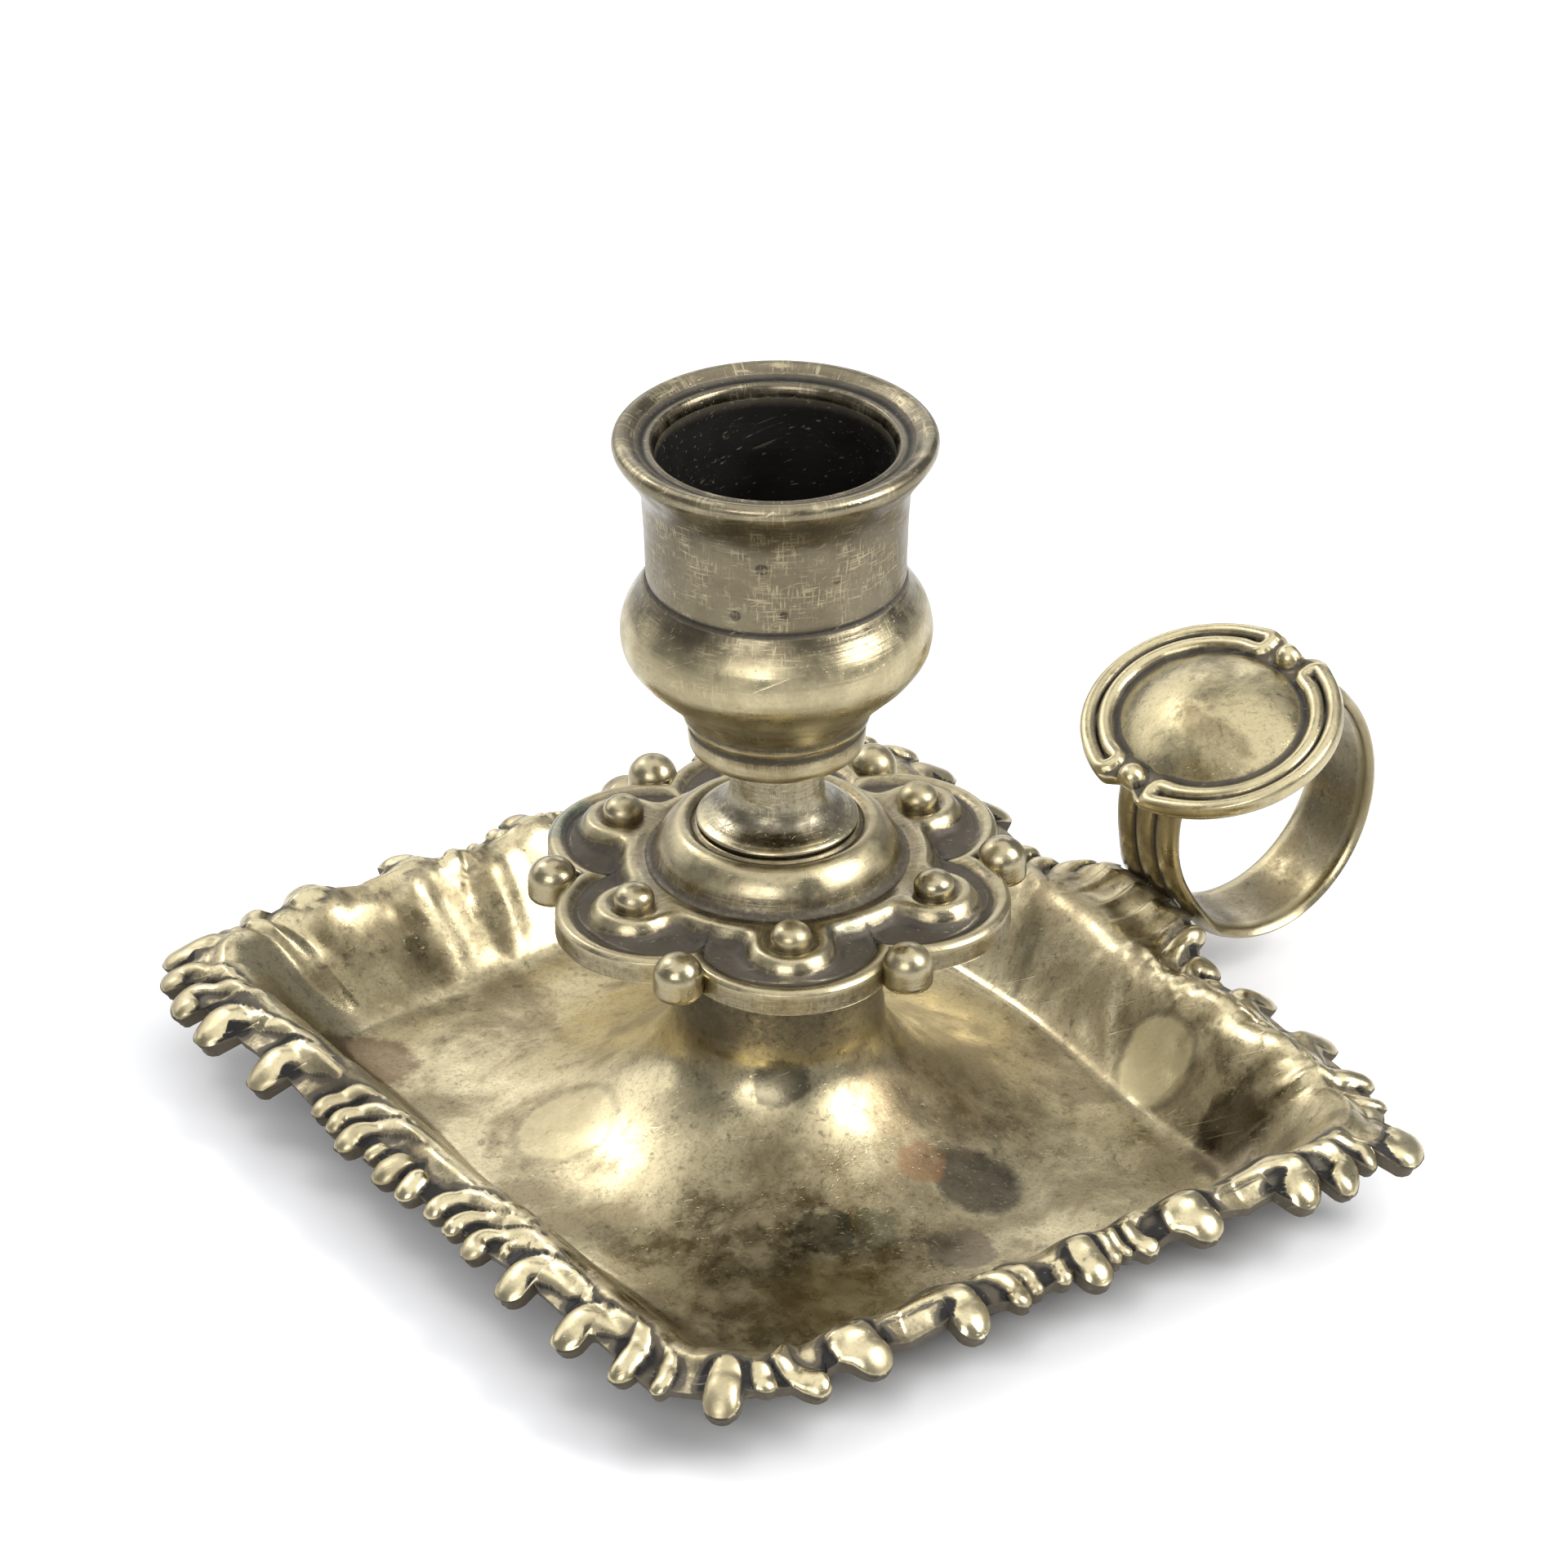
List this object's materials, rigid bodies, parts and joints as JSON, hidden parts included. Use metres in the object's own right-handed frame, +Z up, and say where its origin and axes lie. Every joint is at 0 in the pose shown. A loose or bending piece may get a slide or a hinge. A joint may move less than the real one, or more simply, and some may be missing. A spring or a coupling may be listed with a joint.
{
  "type": "brass chamberstick",
  "caption": "Low brass candle holder on a rectangular tray with a gadrooned border, lobed drip plate, turned candle socket and finger ring with thumb plate.",
  "frame": {"origin": "middle of the whole footprint, tray and finger ring together, on the surface it stands on; the stem's axis is 12.6 mm to the -X side", "axes": "+Z up along the stem, +X from the stem towards the finger ring, Y along the tray's long sides"},
  "size_m": [0.1122, 0.1, 0.075],
  "materials": {
    "aged_brass": "old cast brass, dark in the recesses and worn bright on the edges",
    "worn_brass": "bright turned brass, worn pale",
    "plain_steel": "dull oiled steel"
  },
  "bodies": {
    "base": {"tray": "aged_brass", "stem_collar": "worn_brass", "tie_rod": "plain_steel", "washer": "aged_brass", "nut": "plain_steel", "finger_ring": "aged_brass", "thumb_plate": "aged_brass"},
    "plate": {"drip_plate": "aged_brass"},
    "socket": {"candle_socket": "aged_brass"}
  },
  "joints": [
    {"name": "socket_unscrew", "type": "hinge", "parent": "base", "child": "socket", "pos_m": [-0.0126, 0, 0.0424], "axis": [0, 0, 1], "range_deg": [0, 3420]},
    {"name": "plate_turn", "type": "hinge", "parent": "base", "child": "plate", "pos_m": [-0.0126, 0, 0.0269], "axis": [0, 0, 1], "continuous": true}
  ]
}
